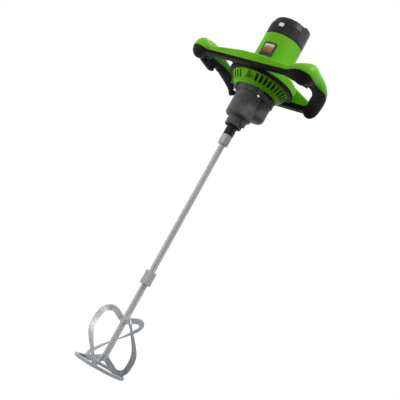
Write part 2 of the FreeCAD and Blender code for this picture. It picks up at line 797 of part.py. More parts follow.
# Fan housing: a tapered bowl with upright air slots and a screw boss on its plain front
def make_fan_housing():
    body = new_body("fan_housing", 0, motor_offset)
    waist_z = bowl_z + bowl_foot_height
    revolve(body, [(bowl_foot_radius - bowl_wall, bowl_z), (bowl_foot_radius, bowl_z),
                   (bowl_foot_radius, waist_z), (bowl_waist_radius, waist_z + bowl_foot_height),
                   (bowl_radius, bowl_top_z), (bowl_radius - bowl_wall, bowl_top_z),
                   (bowl_waist_radius - bowl_wall, waist_z + bowl_foot_height),
                   (bowl_foot_radius - bowl_wall, waist_z)])
    top = bowl_top_z - bowl_wall
    foot = top - slot_height
    half = slot_width / 2
    for side in (1, -1):
        sketch = new_sketch(body, "XZ_Plane")
        draw_outline(sketch, [(-half, foot), (half, foot), (half, top), (-half, top)])
        offset = sketch.AttachmentOffset
        offset.Rotation = FreeCAD.Rotation(Vector(0, 1, 0), 1)
        sketch.AttachmentOffset = offset
        bind(sketch, "AttachmentOffset.Rotation.Angle", slot_start * side)
        slot = body.newObject("PartDesign::Pocket", "Slot")
        slot.Profile = sketch
        slot.Type = "ThroughAll"
        slot.Reversed = True
        pattern = around(body, slot, slot_count, slot_sweep)
        pattern.Reversed = side < 0
    pad(body, waist_z + bowl_foot_height, bowl_top_z, draw_circle, bowl_boss_radius, 0, -bowl_boss_reach)
    return keep("fan_housing", body)


# Motor housing: a tube on a round flange that clamps the frame to the fan housing
def make_motor_housing():
    body = new_body("motor_housing", 0, motor_offset)
    bore = housing_radius - housing_wall
    revolve(body, [(bore, bowl_top_z), (deck_radius, bowl_top_z), (deck_radius, deck_z),
                   (housing_radius, deck_z), (housing_radius, housing_top_z), (bore, housing_top_z)])
    keep("motor_housing", body)


# Rotor: shaft with the pinion cut on its end, fan, laminated core, windings and commutator
def rotor_levels():
    core = deck_z + stator_lift
    core_top = core + stator_height
    segments = core_top + coil_height + brush_plate_height * 2
    return core, core_top, segments, segments + commutator_height


def make_rotor():
    core, core_top, segments, segments_top = rotor_levels()
    shoulder = bowl_z + nose_gap
    upper = cap_seat_z()
    tip = upper + motor_bearing_height
    fan_z = bowl_z + fan_gap
    body = new_body("motor_shaft", 0, motor_offset)
    pinion_end = fine_top_z + nose_gap
    revolve(body, [(0, pinion_end), (motor_journal, pinion_end), (motor_journal, shoulder),
                   (shaft_radius, shoulder), (shaft_radius, upper - nose_gap),
                   (motor_journal, upper - nose_gap), (motor_journal, tip), (0, tip)])
    to_lay = bearing_angle(0, motor_offset.value, lay_x.value, lay_y.value)
    teeth = make_gear_solid(motor_teeth, fine_module, fine_shift, fine_head, fine_z - nose_gap,
                            pinion_end, to_lay + 180 / motor_teeth.value, 0, motor_offset)
    keep("motor_shaft", fused("motor_shaft_with_pinion", [body, solid_feature("pinion", teeth)]))

    fan = new_body("cooling_fan", 0, motor_offset)
    pad(fan, fan_z, fan_z + fan_disc, draw_circle, fan_radius)
    pad(fan, fan_z, fan_z + fan_height, draw_circle, fan_hub_radius)
    length = fan_radius - fan_hub_radius
    blade = pad(fan, fan_z, fan_z + fan_height, draw_box, length, fan_blade_width,
                fan_radius - length / 2 - fan_blade_width / 2)
    around(fan, blade, fan_blades, 360)
    pocket(fan, fan_z, fan_z + fan_height, draw_circle, shaft_radius)
    keep("cooling_fan", fan)

    ring("armature_core", shaft_radius, stator_bore - air_gap, core, core_top, 0, motor_offset)
    chamfer = coil_height / 3
    windings = []
    for low, high in ((core - coil_height, core), (core_top, core_top + coil_height)):
        winding = new_body("winding", 0, motor_offset)
        narrow = winding_radius - chamfer
        foot_radius = narrow if low.value < core.value else winding_radius
        head_radius = winding_radius if low.value < core.value else narrow
        revolve(winding, [(shaft_radius, low), (foot_radius, low), (winding_radius, low + chamfer),
                          (winding_radius, high - chamfer), (head_radius, high), (shaft_radius, high)])
        windings.append(winding)
    group = doc.addObject("Part::Compound", "armature_windings")
    group.Links = windings
    keep("armature_windings", group)
    ring("commutator", shaft_radius, commutator_radius, segments, segments_top, 0, motor_offset)
    bore_radius = motor_journal + running_gap
    ring("motor_bearing_lower", bore_radius, motor_bearing_radius, plate_z, bowl_z, 0, motor_offset)
    ring("motor_bearing_upper", bore_radius, motor_bearing_radius, upper, tip, 0, motor_offset)


def cap_seat_z():
    return housing_top_z + cap_cavity


# Stator, field coils and brush gear
def make_stator():
    core, core_top, segments, segments_top = rotor_levels()
    bore = housing_radius - housing_wall
    ring("stator_core", stator_bore, bore, core, core_top, 0, motor_offset)
    coils = []
    for low, high in ((core - coil_height, core), (core_top, core_top + coil_height)):
        coil = new_body("coil", 0, motor_offset)
        outer = bore - housing_wall
        revolve(coil, [(coil_radius, low), (outer, low), (outer, high), (coil_radius, high)])
        coils.append(coil)
    group = doc.addObject("Part::Compound", "field_coils")
    group.Links = coils
    keep("field_coils", group)

    plate_top = segments + commutator_height / 2 - brush_size / 2 - holder_wall
    ring("brush_plate", commutator_radius + brush_gap * 4, bore, plate_top - brush_plate_height,
         plate_top, 0, motor_offset)
    low = plate_top
    high = low + brush_size + holder_wall * 2
    half = brush_size / 2 + holder_wall
    near_end = commutator_radius + brush_size / 2
    far_end = commutator_radius + brush_gap + brush_length
    holders = []
    brushes = []
    for side in (-1, 1):
        ends = [near_end * side, far_end * side]
        if side < 0:
            ends.reverse()
        outside = block("holder", (ends[0], motor_offset - half, low), (ends[1], motor_offset + half, high))
        room = block("brush_room", (ends[0], motor_offset - brush_size / 2, low + holder_wall),
                     (ends[1], motor_offset + brush_size / 2, high - holder_wall))
        holders.append(boolean("Cut", "brush_holder", outside, room))
        ends = [(commutator_radius + brush_gap) * side, far_end * side]
        if side < 0:
            ends.reverse()
        brushes.append(block("brush", (ends[0], motor_offset - brush_size / 2, low + holder_wall),
                             (ends[1], motor_offset + brush_size / 2, high - holder_wall)))
    for label, things in (("brush_holders", holders), ("carbon_brushes", brushes)):
        group = doc.addObject("Part::Compound", label)
        group.Links = things
        keep(label, group)


# Top cap: a rounded crown over the brush gear, with a brush cover standing up on each side
def make_cover_room(side):
    """The rounded window that one brush cover fills, from its seat out past the cap's side."""
    body = new_body("cover_room", 0, motor_offset)
    sketch = new_sketch(body, "YZ_Plane", cover_seat * side)
    low = housing_top_z + cover_lift
    half = cover_width / 2
    draw_outline(sketch, [(-half, low), (half, low), (half, low + cover_height),
                          (-half, low + cover_height)])
    window = body.newObject("PartDesign::Pad", "Window")
    window.Profile = sketch
    window.Reversed = side < 0
    bind(window, "Length", housing_radius)
    round_edges(body, cover_round, lambda edge: near(edge.BoundBox.XLength, housing_radius))
    return body


def make_top_cap():
    form = new_body("cap_form", 0, motor_offset)
    seat = cap_seat_z()
    shoulder = housing_top_z + cap_shoulder
    revolve(form, [(0, housing_top_z), (housing_radius, housing_top_z), (housing_radius, shoulder),
                   (cap_crown_radius, cap_top_z - cap_crown_drop), (cap_crown_radius / 3, cap_top_z),
                   (0, cap_top_z)])
    crown = rim(cap_crown_radius, cap_top_z - cap_crown_drop)
    brow = rim(housing_radius, shoulder)
    round_edges(form, cap_round, lambda edge: crown(edge) or brow(edge))
    rooms = [
        cylinder("brush_gear_room", housing_radius - cap_wall, housing_top_z, seat, 0, motor_offset),
        cylinder("upper_bearing_seat", motor_bearing_radius, seat, seat + motor_bearing_height,
                 0, motor_offset),
    ]
    for name, side in (("left", -1), ("right", 1)):
        room = make_cover_room(side)
        wall = cylinder("cover_wall", housing_radius, housing_top_z, cap_top_z, 0, motor_offset)
        keep("brush_cover_" + name, boolean("Common", "brush_cover", wall, room))
        rooms.append(room)
    keep("top_cap", boolean("Cut", "top_cap_shell", form, fused("cap_rooms", rooms)))


# Frame form: two beams and a hub, with a grip lofted round each side
def grip_stations():
    """Plan position, height, heading in degrees, half width and half height along the right grip."""
    front = motor_offset.value - front_beam_y.value
    back = motor_offset.value + back_beam_y.value
    length = back - front
    seam = parting_z.value
    low = seam + bulb_lift.value
    rise = seam + grip_rise.value
    tail = seam + tail_lift.value
    depth = beam_depth.value / 2
    front_tall = (front_beam_below + front_beam_above).value / 2
    front_z = seam + (front_beam_above - front_beam_below).value / 2
    back_tall = (back_beam_below + back_beam_above).value / 2
    back_z = seam + (back_beam_above - back_beam_below).value / 2
    beam_end = front_beam_half.value
    wide, tall = grip_half_width.value, grip_half_height.value
    bulb_wide, bulb_tall = bulb_half_width.value, bulb_half_height.value
    tail_wide, tail_tall = tail_half_width.value, tail_half_height.value
    grip = grip_x.value
    # Each end starts inside its beam, so it is a little slimmer than the beam
    slim = grip_root_share.value
    near_y, middle_y, far_y = [front + length * share.value for share in grip_shares]
    climb = low + (rise - low) * grip_climb.value
    fall = tail + (rise - tail) * grip_climb.value
    far_x = (grip + tail_x.value) / 2 + depth / 2
    return [
        (beam_end - depth, front, front_z, 0, depth * slim, front_tall * slim),
        (beam_end + depth / 2, front, (front_z + low) / 2, 8,
         (depth + bulb_wide) / 2, (front_tall + bulb_tall) / 2),
        (bulb_x.value, front + bulb_wide * 2 / 3, low, 55, bulb_wide, bulb_tall),
        (grip, near_y, climb, 86, (wide + bulb_wide) / 2, (tall + bulb_tall) / 2),
        (grip, middle_y, rise, 95, wide, tall),
        (far_x, far_y, fall, 112, wide, tall),
        (tail_x.value, back - depth / 2, tail, 145, tail_wide, tail_tall),
        (back_beam_half.value - depth, back, back_z, 180, depth * slim, back_tall * slim),
    ]


def grip_loft(inset, side):
    sections = []
    for x, y, z, heading, half_width, half_height in grip_stations():
        across, tall = half_width - inset, half_height - inset
        oval = Part.Ellipse(Vector(), max(across, tall), min(across, tall))
        wire = Part.Wire(oval.toShape())
        if tall > across:
            wire.rotate(Vector(), UP, 90)
        wire.rotate(Vector(), Vector(1, 0, 0), 90)
        wire.rotate(Vector(), UP, heading + 90)
        wire.translate(Vector(x, y, z))
        sections.append(wire)
    solid = Part.makeLoft(sections, True, False)
    if side < 0:
        solid = solid.mirror(Vector(), Vector(1, 0, 0))
    return solid


def make_beam(name, y, half_length, below, above, crown_half, crown_rise):
    """A beam that stands higher at its middle, drawn from the front and padded to its depth."""
    body = new_body(name, 0, y)
    low = parting_z - below
    high = parting_z + above
    crown = high + crown_rise
    sketch = new_sketch(body, "XZ_Plane")
    draw_outline(sketch, [(-half_length, low), (half_length, low), (half_length, high),
                          (crown_half, crown), (-crown_half, crown), (-half_length, high)])
    feature = body.newObject("PartDesign::Pad", "Beam")
    feature.Profile = sketch
    feature.SideType = "Symmetric"
    bind(feature, "Length", beam_depth)
    doc.recompute()
    long_edge = as_size(half_length) / 10
    round_edges(body, beam_round, lambda edge: edge.BoundBox.XLength > long_edge.value)
    return body


def make_frame_form():
    hub = new_body("hub", 0, motor_offset)
    foot = deck_z - hub_skirt
    side_top = parting_z + hub_side_height
    crown = parting_z + hub_crown_height
    revolve(hub, [(0, foot), (hub_radius, foot), (hub_radius, side_top), (hub_crown_radius, crown),
                  (0, crown)])
    lower, upper = rim(hub_radius, foot), rim(hub_radius, side_top)
    round_edges(hub, hub_round, lambda edge: lower(edge) or upper(edge))
    front = make_beam("front_beam", motor_offset - front_beam_y, front_beam_half, front_beam_below,
                      front_beam_above, front_crown_half, front_crown_rise)
    back = make_beam("back_beam", motor_offset + back_beam_y, back_beam_half, back_beam_below,
                     back_beam_above, back_crown_half, back_crown_rise)
    grips = [solid_feature("grip_form", grip_loft(0, side)) for side in (-1, 1)]
    webs = []
    for side in (-1, 1):
        web = new_body("corner_web", 0, motor_offset - front_beam_y + beam_depth / 4)
        corners = [(grip_x - web_reach, 0), (grip_x, 0), (grip_x, web_depth + beam_depth / 4)]
        pad(web, parting_z - front_beam_below + beam_round / 2, parting_z + web_above, draw_outline,
            [(across * side, along) for across, along in corners])
        webs.append(web)
    bridge = new_body("front_bridge", 0, motor_offset - front_beam_y + beam_depth / 4)
    pad(bridge, parting_z - front_beam_below + beam_round / 2, parting_z + web_above, draw_outline,
        [(-bridge_half, 0), (bridge_half, 0), (bridge_half - bridge_depth / 2, bridge_depth),
         (bridge_depth / 2 - bridge_half, bridge_depth)])
    return fused("frame_form", [hub, front, back, bridge] + webs + grips)


def frame_screw_spots():
    front = motor_offset - front_beam_y
    back = motor_offset + back_beam_y
    return [(frame_screw_spread * side, front) for side in (-1, 1)] + \
        [(frame_screw_inset * side, front) for side in (-1, 1)] + \
        [(back_screw_spread * side, back) for side in (-1, 1)]


def make_sleeve(side, far):
    """The rubber round one grip: a skin with raised ribs across the hand."""
    first = motor_offset.value - pad_front.value
    tall = bulb_half_height.value * 3
    left = 0 if side > 0 else -far
    foot = seam_z.value - tall
    ribs = []
    for number in range(int(rib_count.value)):
        start = first + rib_step.value * (number + 0.5)
        ribs.append(Part.makeBox(far, rib_width.value, tall, Vector(left, start, foot)))
    raised = grip_loft(-rib_height.value, side).common(Part.makeCompound(ribs))
    window = Part.makeBox(far, (pad_front + pad_back).value, tall, Vector(left, first, foot))
    skin = grip_loft(0, side).common(window)
    return skin.fuse(raised).cut(grip_loft(pad_skin.value, side))


def make_frame():
    form = make_frame_form()
    far = grip_x * 2
    tool_low = parting_z - bulb_half_height * 2
    # The seam between the shells is level on the beams and climbs along each grip to the back
    climb = new_body("seam_climb")
    sketch = new_sketch(climb, "YZ_Plane")
    front_seam, dip_seam = parting_z + seam_front_rise, parting_z + seam_dip_rise
    draw_outline(sketch, [(-far, front_seam), (motor_offset - seam_front, front_seam),
                          (motor_offset - seam_dip, dip_seam), (motor_offset + seam_crest, seam_z),
                          (far, seam_z), (far, cap_top_z), (-far, cap_top_z)])
    sides = climb.newObject("PartDesign::Pad", "Sides")
    sides.Profile = sketch
    sides.SideType = "Symmetric"
    bind(sides, "Length", far * 2)
    pad(climb, parting_z, cap_top_z, draw_box, seam_start * 2, far * 2)
    ramp = new_body("seam_ramp", 0, motor_offset - front_beam_y)
    sketch = new_sketch(ramp, "XZ_Plane")
    draw_outline(sketch, [(-seam_start, parting_z), (seam_start, parting_z), (seam_corner, front_seam),
                          (-seam_corner, front_seam)])
    slopes = ramp.newObject("PartDesign::Pad", "Slopes")
    slopes.Profile = sketch
    slopes.SideType = "Symmetric"
    bind(slopes, "Length", beam_depth * 3)
    top_half = fused("top_half", [climb, ramp])

    pads = {}
    for name, side in (("left", -1), ("right", 1)):
        sleeve = solid_feature("sleeve", make_sleeve(side, far.value))
        pads[name] = boolean("Cut", "pad_form", sleeve, top_half)

    seat_x = -grip_x
    trigger_y = motor_offset - trigger_front
    switch_z = seam_z + switch_lift
    trigger_room = block("trigger_room",
                         (seat_x - trigger_width / 2 - trigger_gap, trigger_y - trigger_gap, tool_low),
                         (seat_x + trigger_width / 2 + trigger_gap,
                          trigger_y + trigger_length + trigger_gap, switch_z))
    middle_y = trigger_y + trigger_length / 2
    switch_room = (
        (seat_x - switch_width / 2, middle_y - switch_length / 2, switch_z),
        (seat_x + switch_width / 2, middle_y + switch_length / 2, switch_z + switch_height))

    button_z = seam_z + button_radius + button_gap * 4
    button_y = motor_offset
    gland_y = motor_offset + back_beam_y + beam_depth / 2
    gland_hole = lying_cylinder("gland_hole", gland_radius, gland_length - gland_proud,
                                -gland_x, gland_y - gland_length + gland_proud, parting_z + gland_lift)
    motor_way = cylinder("motor_way", housing_radius, nose_z, cap_top_z, 0, motor_offset)
    deck_way = cylinder("deck_way", bowl_radius + running_gap, nose_z, deck_z, 0, motor_offset)

    screw_seat = parting_z - front_beam_below + frame_screw_sink
    screw_tip = screw_seat + frame_screw_length
    shanks = []
    heads = []
    for x, y in frame_screw_spots():
        shanks.append(cylinder("screw_way", screw_radius, screw_seat, screw_tip, x, y))
        heads.append(cylinder("head_way", screw_head_radius + running_gap, tool_low, screw_seat, x, y))

    button_x = -grip_x - grip_half_width - button_proud
    button_way = doc.addObject("Part::Cylinder", "button_way")
    button_way.Placement = FreeCAD.Placement(Vector(), FreeCAD.Rotation(Vector(0, 1, 0), 90))
    bind(button_way, "Radius", button_radius + button_gap)
    bind(button_way, "Height", button_length + button_travel + button_proud)
    place(button_way, button_x - button_proud, button_y, button_z)
    button = doc.addObject("Part::Cylinder", "lock_button")
    button.Placement = FreeCAD.Placement(Vector(), FreeCAD.Rotation(Vector(0, 1, 0), 90))
    bind(button, "Radius", button_radius)
    bind(button, "Height", button_length)
    place(button, button_x, button_y, button_z)
    keep("lock_button", button)

    upper = boolean("Common", "frame_upper_form", form, top_half)
    upper_room = fused("upper_room", [motor_way, gland_hole, trigger_room,
                                      block("switch_room", *switch_room), button_way] + shanks)
    keep("frame_upper_shell", boolean("Cut", "frame_upper_shell", upper, upper_room))
    lower = boolean("Cut", "frame_lower_form", form, top_half)
    lower_room = fused("lower_room", [motor_way, deck_way, trigger_room] + shanks + heads)
    bare = boolean("Cut", "frame_lower_bare", lower, lower_room)
    keep("frame_lower_shell", boolean("Cut", "frame_lower_shell", bare,
                                      fused("both_pads", [pads["left"], pads["right"]])))
    keep("left_grip_pad", boolean("Cut", "left_grip_pad", pads["left"], trigger_room))
    keep("right_grip_pad", pads["right"])
    make_screws("frame_screws", frame_screw_spots(), screw_seat, screw_tip, screw_head_height)

    keep("switch_module", block("switch_module", *switch_room))
    trigger_top = switch_z - spring_height
    trigger_foot = parting_z + grip_rise - grip_half_height - trigger_drop
    lever = new_body("trigger", seat_x, middle_y)
    pad(lever, trigger_foot, trigger_top, draw_box, trigger_width, trigger_length)
    round_edges(lever, trigger_round, lambda edge: near(edge.BoundBox.ZMax, trigger_foot))
    keep("trigger", lever)
    ring("trigger_spring", spring_radius - spring_wire, spring_radius, trigger_top, switch_z,
         seat_x, middle_y)

    gland = doc.addObject("PartDesign::Body", "cable_gland")
    start = gland_proud - gland_length
    revolve(gland, [(gland_bore, start), (gland_radius, start), (gland_radius, 0), (gland_flange, 0),
                    (gland_flange, gland_proud / 2), (gland_radius, gland_proud),
                    (gland_bore, gland_proud)])
    gland.Placement = FreeCAD.Placement(Vector(), FreeCAD.Rotation(Vector(1, 0, 0), -90))
    place(gland, -gland_x, gland_y, parting_z + gland_lift)
    keep("cable_gland", gland)


def lying_cylinder(name, radius, length, x, y, z):
    """A cylinder that runs back along +Y from the point given."""
    rod = doc.addObject("Part::Cylinder", name)
    rod.Placement = FreeCAD.Placement(Vector(), FreeCAD.Rotation(Vector(1, 0, 0), -90))
    bind(rod, "Radius", radius)
    bind(rod, "Height", length)
    place(rod, x, y, z)
    return rod


paddle_ring = make_paddle_ring()
make_blades(paddle_ring)
make_shaft()
make_spindle()
lay_foot = make_layshaft()
make_gear_case(lay_foot)
make_bearing_plate()
make_screws("gear_case_screws", list(lug_centres()), flange_z, bowl_z, screw_head_height)
make_fan_housing()
make_motor_housing()
make_rotor()
make_stator()
make_top_cap()
make_frame()
doc.recompute()

# Every object has to be sound before anything is written
failed = [thing.Label for thing in doc.Objects if {"Invalid", "Error"} & set(thing.State)]
for label, thing in nodes.items():
    if thing.Shape.isNull() or not thing.Shape.isValid() or not thing.Shape.Solids:
        failed.append(label)
if failed:
    raise RuntimeError("not sound: " + ", ".join(failed))

os.makedirs("parts", exist_ok=True)
for label, thing in nodes.items():
    thing.Shape.exportStep("parts/%s.step" % label)
print(len(nodes), "pieces")
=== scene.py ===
# A hand-held mixing drill: a motor in a two-handed green and black frame turns a long zinc-plated
# rod with a bladed ring. The sections follow the drill from the paddle up to the motor's cap, then
# take the frame with its grips, the plates and the studio.
import math

import bmesh
import bpy
from mathutils import Matrix, Vector


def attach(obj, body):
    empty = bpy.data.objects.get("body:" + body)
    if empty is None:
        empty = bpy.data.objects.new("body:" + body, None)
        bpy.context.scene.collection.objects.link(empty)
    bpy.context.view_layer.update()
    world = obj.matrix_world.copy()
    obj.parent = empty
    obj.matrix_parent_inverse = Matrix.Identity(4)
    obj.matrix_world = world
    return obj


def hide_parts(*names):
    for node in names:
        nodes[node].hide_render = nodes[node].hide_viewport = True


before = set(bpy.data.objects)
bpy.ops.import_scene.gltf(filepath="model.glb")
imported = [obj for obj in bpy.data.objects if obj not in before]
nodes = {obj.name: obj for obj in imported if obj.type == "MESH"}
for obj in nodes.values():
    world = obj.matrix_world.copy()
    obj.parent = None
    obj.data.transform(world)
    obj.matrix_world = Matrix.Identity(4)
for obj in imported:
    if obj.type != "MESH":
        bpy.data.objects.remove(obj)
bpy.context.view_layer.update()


# Paddle: a flat steel ring with bars bent to a C and welded to it and to the rod.
# The bars are twisted about the rod, and the whole is zinc plated in one bath after welding.
def linear(red, green, blue):
    """A colour as it is read off a screen, 0 to 255, made linear for a shader."""
    shares = [channel / 255 for channel in (red, green, blue)]
    return [s / 12.92 if s <= 0.04045 else ((s + 0.055) / 1.055) ** 2.4 for s in shares] + [1.0]


class Finish:
    """A material whose colour, roughness and relief come from patterns on the piece itself."""

    def __init__(self, name, metallic=0.0, specular=0.5):
        self.material = bpy.data.materials.new(name)
        self.material.use_nodes = True
        self.tree = self.material.node_tree
        self.shader = self.tree.nodes["Principled BSDF"]
        self.shader.inputs["Metallic"].default_value = metallic
        self.shader.inputs["Specular IOR Level"].default_value = specular
        self.coordinates = self.tree.nodes.new("ShaderNodeTexCoord")
        self.relief = None

    def link(self, output, target):
        self.tree.links.new(output, target)

    def stretched(self, stretch):
        """The piece's own coordinates, scaled along each axis."""
        mapping = self.tree.nodes.new("ShaderNodeMapping")
        mapping.inputs["Scale"].default_value = stretch
        self.link(self.coordinates.outputs["Object"], mapping.inputs["Vector"])
        return mapping.outputs["Vector"]

    def noise(self, scale, detail, stretch=(1, 1, 1)):
        """A cloudy pattern; a stretch below 1 draws it out along that axis."""
        pattern = self.tree.nodes.new("ShaderNodeTexNoise")
        pattern.inputs["Scale"].default_value = scale
        pattern.inputs["Detail"].default_value = detail
        self.link(self.stretched(stretch), pattern.inputs["Vector"])
        return pattern.outputs["Fac"]

    def cells(self, scale):
        """A pattern of small pits, as a spark-eroded mould leaves."""
        pattern = self.tree.nodes.new("ShaderNodeTexVoronoi")
        pattern.inputs["Scale"].default_value = scale
        self.link(self.coordinates.outputs["Object"], pattern.inputs["Vector"])
        return pattern.outputs["Distance"]

    def colour(self, pattern, stops):
        """Colours by the pattern's value, as (value, colour) pairs."""
        ramp = self.tree.nodes.new("ShaderNodeValToRGB")
        band = ramp.color_ramp
        while len(band.elements) < len(stops):
            band.elements.new(0.5)
        for element, (value, shade) in zip(band.elements, stops):
            element.position = value
            element.color = shade
        self.link(pattern, ramp.inputs["Fac"])
        self.link(ramp.outputs["Color"], self.shader.inputs["Base Color"])

    def roughness(self, pattern, smooth, rough):
        """From smooth to rough over the values that a pattern mostly takes."""
        usual_low, usual_high = 0.3, 0.7
        spread = self.tree.nodes.new("ShaderNodeMapRange")
        spread.inputs["From Min"].default_value = usual_low
        spread.inputs["From Max"].default_value = usual_high
        spread.inputs["To Min"].default_value = smooth
        spread.inputs["To Max"].default_value = rough
        self.link(pattern, spread.inputs["Value"])
        self.link(spread.outputs["Result"], self.shader.inputs["Roughness"])

    def emboss(self, pattern, strength, height):
        """Raise the surface by the pattern, over any relief that is already there."""
        bump = self.tree.nodes.new("ShaderNodeBump")
        bump.inputs["Strength"].default_value = strength
        bump.inputs["Distance"].default_value = height
        self.link(pattern, bump.inputs["Height"])
        if self.relief:
            self.link(self.relief, bump.inputs["Normal"])
        self.relief = bump.outputs["Normal"]
        self.link(self.relief, self.shader.inputs["Normal"])


def dress(finish, *names):
    """Give CAD nodes a finish."""
    for name in names:
        slots = nodes[name].data.materials
        slots.clear()
        slots.append(finish.material)


zinc_plate = Finish("zinc_plate", metallic=0.5, specular=0.35)
zinc_cloud = zinc_plate.noise(scale=34, detail=5.0)
zinc_plate.colour(zinc_cloud, [(0.30, linear(153, 156, 159)), (0.52, linear(163, 166, 169)),
                               (0.70, linear(173, 176, 179))])
zinc_plate.roughness(zinc_plate.noise(scale=120, detail=4.0), smooth=0.40, rough=0.54)
zinc_plate.emboss(zinc_plate.noise(scale=420, detail=3.0), strength=0.06, height=0.0003)
dress(zinc_plate, "paddle_ring", "blade_1", "blade_2", "blade_3")


# Welds: a run of overlapping drops where each bar meets the rod and the ring, on both sides.
# They are laid by hand before plating, so the drops differ a little and carry the same zinc.
def new_tree(name, sizes):
    """A geometry tree with its own named sizes and a material to end with."""
    tree = bpy.data.node_groups.new(name, "GeometryNodeTree")
    face = tree.interface
    face.new_socket("Geometry", in_out="INPUT", socket_type="NodeSocketGeometry")
    for label in sizes:
        face.new_socket(label, in_out="INPUT", socket_type="NodeSocketFloat")
    face.new_socket("Finish", in_out="INPUT", socket_type="NodeSocketMaterial")
    face.new_socket("Geometry", in_out="OUTPUT", socket_type="NodeSocketGeometry")
    return tree, tree.nodes.new("NodeGroupInput"), tree.nodes.new("NodeGroupOutput")


def close_tree(tree, given, last, grown):
    """End a tree in plain geometry with its finish."""
    plain = tree.nodes.new("GeometryNodeRealizeInstances")
    paint = tree.nodes.new("GeometryNodeSetMaterial")
    tree.links.new(grown, plain.inputs["Geometry"])
    tree.links.new(plain.outputs["Geometry"], paint.inputs["Geometry"])
    tree.links.new(given.outputs["Finish"], paint.inputs["Material"])
    tree.links.new(paint.outputs["Geometry"], last.inputs["Geometry"])


def grow(name, tree, points, edges, finish, sizes, smooth):
    """Run a tree on some points and keep what it makes as a plain mesh."""
    seeds = bpy.data.meshes.new(name + "_seeds")
    seeds.from_pydata(points, edges, [])
    carrier = bpy.data.objects.new(name + "_carrier", seeds)
    bpy.context.scene.collection.objects.link(carrier)
    modifier = carrier.modifiers.new("Grow", "NODES")
    modifier.node_group = tree
    for item in tree.interface.items_tree:
        if item.in_out == "INPUT" and item.name in sizes:
            modifier[item.identifier] = sizes[item.name]
        if item.in_out == "INPUT" and item.name == "Finish":
            modifier[item.identifier] = finish.material
    bpy.context.view_layer.update()
    shown = carrier.evaluated_get(bpy.context.evaluated_depsgraph_get())
    mesh = bpy.data.meshes.new_from_object(shown)
    bpy.data.objects.remove(carrier)
    if smooth:
        mesh.shade_smooth()
    else:
        mesh.shade_flat()
    piece = bpy.data.objects.new(name, mesh)
    bpy.context.scene.collection.objects.link(piece)
    return piece


def weld_tree():
    """Drops of uneven size along each line."""
    smallest, largest, draw_seed = 0.8, 1.15, 5
    drop_detail = 2
    tree, given, last = new_tree("weld_run", ["Drop Pitch", "Drop Radius"])
    line = tree.nodes.new("GeometryNodeMeshToCurve")
    spaced = tree.nodes.new("GeometryNodeResampleCurve")
    drop = tree.nodes.new("GeometryNodeMeshIcoSphere")
    uneven = tree.nodes.new("FunctionNodeRandomValue")
    laid = tree.nodes.new("GeometryNodeInstanceOnPoints")
    spaced.mode = "LENGTH"
    drop.inputs["Subdivisions"].default_value = drop_detail
    # Inputs 2 and 3 and output 1 are the ones for a plain number
    uneven.inputs[2].default_value = smallest
    uneven.inputs[3].default_value = largest
    uneven.inputs["Seed"].default_value = draw_seed
    tree.links.new(given.outputs["Geometry"], line.inputs["Mesh"])
    tree.links.new(line.outputs["Curve"], spaced.inputs["Curve"])
    tree.links.new(given.outputs["Drop Pitch"], spaced.inputs["Length"])
    tree.links.new(given.outputs["Drop Radius"], drop.inputs["Radius"])
    tree.links.new(spaced.outputs["Curve"], laid.inputs["Points"])
    tree.links.new(drop.outputs["Mesh"], laid.inputs["Instance"])
    tree.links.new(uneven.outputs[1], laid.inputs["Scale"])
    close_tree(tree, given, last, laid.outputs["Instances"])
    return tree


def weld_lines():
    """Two-point lines in metres, on both sides of each bar where it meets the rod and the ring."""
    bar_count, first_turn, twist = 3, 79.5, 100.0
    arm_height, half_bar = 0.1120, 0.0015
    # Each end is a radius, a height and the height of the bar's middle line there
    arm_to_rod = ((0.0070, 0.1068, 0.1121), (0.0070, 0.1198, 0.1146))
    spoke_to_rod = ((0.0070, 0.0195, 0.0225), (0.0070, 0.0292, 0.0238))
    heel_to_ring = ((0.0522, 0.0048, 0.0098), (0.0557, 0.0072, 0.0115))
    lines = []
    for number in range(bar_count):
        for weld in (arm_to_rod, spoke_to_rod, heel_to_ring):
            for side in (-half_bar, half_bar):
                line = []
                for radius, height, middle in weld:
                    fallen = (arm_height - middle) / arm_height
                    turn = math.radians(first_turn + 360 / bar_count * number + twist * fallen)
                    across = Vector((math.cos(turn), math.sin(turn), 0))
                    along = Vector((-math.sin(turn), math.cos(turn), 0))
                    line.append(across * radius + along * side + Vector((0, 0, height)))
                lines.append(line)
    return lines


weld_points = [end for line in weld_lines() for end in line]
weld_edges = [(2 * i, 2 * i + 1) for i in range(len(weld_points) // 2)]
paddle_welds = grow("paddle_welds", weld_tree(), weld_points, weld_edges, zinc_plate,
                    {"Drop Pitch": 0.0012, "Drop Radius": 0.0015}, smooth=True)
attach(paddle_welds, "spindle_body")


# Rod: two lengths of drawn round bar, screwed into a hexagon coupling and held by a lock nut.
# Drawing leaves fine lines along the bar, which show through the thin zinc.
drawn_rod = Finish("drawn_rod", metallic=0.5, specular=0.35)
drawn_lines = drawn_rod.noise(scale=160, detail=3.0, stretch=(1, 1, 0.02))
drawn_rod.colour(drawn_lines, [(0.32, linear(166, 168, 170)), (0.55, linear(175, 177, 178)),
                               (0.72, linear(184, 186, 187))])
drawn_rod.roughness(drawn_rod.noise(scale=60, detail=3.0, stretch=(1, 1, 0.1)), smooth=0.38, rough=0.46)
drawn_rod.emboss(drawn_lines, strength=0.02, height=0.0001)
dress(drawn_rod, "upper_rod", "lower_rod")

